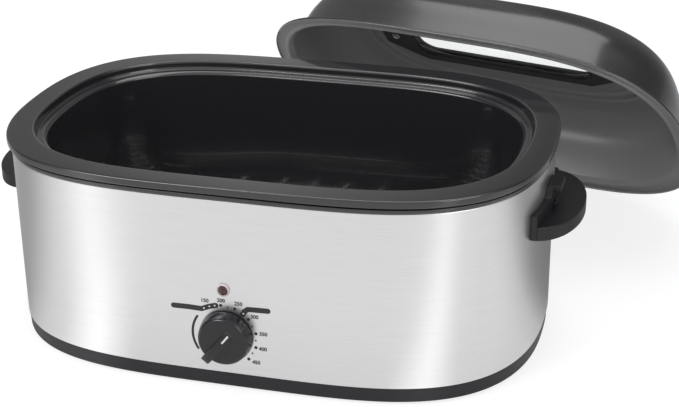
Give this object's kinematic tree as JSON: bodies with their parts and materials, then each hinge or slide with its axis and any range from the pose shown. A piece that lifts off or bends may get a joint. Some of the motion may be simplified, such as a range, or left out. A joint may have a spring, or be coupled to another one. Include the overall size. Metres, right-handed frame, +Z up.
{
  "type": "electric roaster oven",
  "caption": "Countertop electric roaster: oval steel-wrapped body with heated well, lift-out pan and rack, thermostat knob, end handles and a domed windowed lid stood behind it.",
  "frame": {"origin": "on the worktop in the plane of the feet's undersides, in the middle of the outline of the whole set with the lid included", "axes": "+X along the length towards the right-hand handle seen from the front, +Y towards the back where the lid stands, +Z up; the knob faces -Y"},
  "size_m": [0.6804, 0.6452, 0.2596],
  "materials": {
    "black_plastic": "matte black phenolic",
    "knob_plastic": "satin black",
    "zinc_steel": "aluminised sheet",
    "rubber": "matte",
    "screw_steel": "plated steel",
    "wrap_steel": "brushed stainless",
    "collar_enamel": "gloss charcoal enamel",
    "glass_wool": "glass fibre blanket",
    "mica_band": "mica heating band",
    "cream_plastic": "unglazed cream",
    "copper_tube": "bare copper",
    "white_plastic": "pale bezel",
    "red_lens": "translucent dark red",
    "lamp_glass": "neon lamp",
    "wire_sleeve": "silicone sleeve",
    "pan_enamel": "gloss charcoal enamel",
    "rack_chrome": "plated wire",
    "lid_enamel": "grey enamel, charcoal outside",
    "window_glass": "clear tempered"
  },
  "bodies": {
    "roaster": {"base_ring": "black_plastic", "floor_plate": "zinc_steel", "rubber_feet": "rubber", "floor_screws": "screw_steel", "steel_wrap": "wrap_steel", "rim_collar": "collar_enamel", "heated_well": "zinc_steel", "insulation_blanket": "glass_wool", "heater_bands": "mica_band", "heater_clips": "zinc_steel", "thermostat_body": "cream_plastic", "thermostat_bracket": "zinc_steel", "thermostat_bulb": "copper_tube", "indicator_bezel": "white_plastic", "indicator_lens": "red_lens", "indicator_lamp": "lamp_glass", "left_handle": "black_plastic", "right_handle": "black_plastic", "handle_screws": "screw_steel", "terminal_block": "cream_plastic", "cord_bushing": "black_plastic", "lead_wires": "wire_sleeve"},
    "knob": {"control_knob": "knob_plastic", "thermostat_shaft": "screw_steel"},
    "pan": {"cooking_pan": "pan_enamel"},
    "rack": {"roasting_rack": "rack_chrome"},
    "lid": {"lid_shell": "lid_enamel", "window_glass": "window_glass", "window_frame": "black_plastic", "lid_handle": "black_plastic", "lid_screws": "screw_steel", "lid_washers": "screw_steel"}
  },
  "joints": [
    {"name": "knob_turn", "type": "hinge", "parent": "roaster", "child": "knob", "pos_m": [-0.04995, -0.30766, 0.055], "axis": [0, 1, 0], "range_deg": [0, 276]},
    {"name": "pan_lift", "type": "slide", "parent": "roaster", "child": "pan", "axis": [0, 0, 1], "range_m": [0, 0.2]},
    {"name": "rack_lift", "type": "slide", "parent": "pan", "child": "rack", "axis": [0, 0, 1], "range_m": [0, 0.19]},
    {"name": "lid_lift", "type": "slide", "parent": "roaster", "child": "lid", "axis": [0, 0, 1], "range_m": [0, 0.25]}
  ]
}
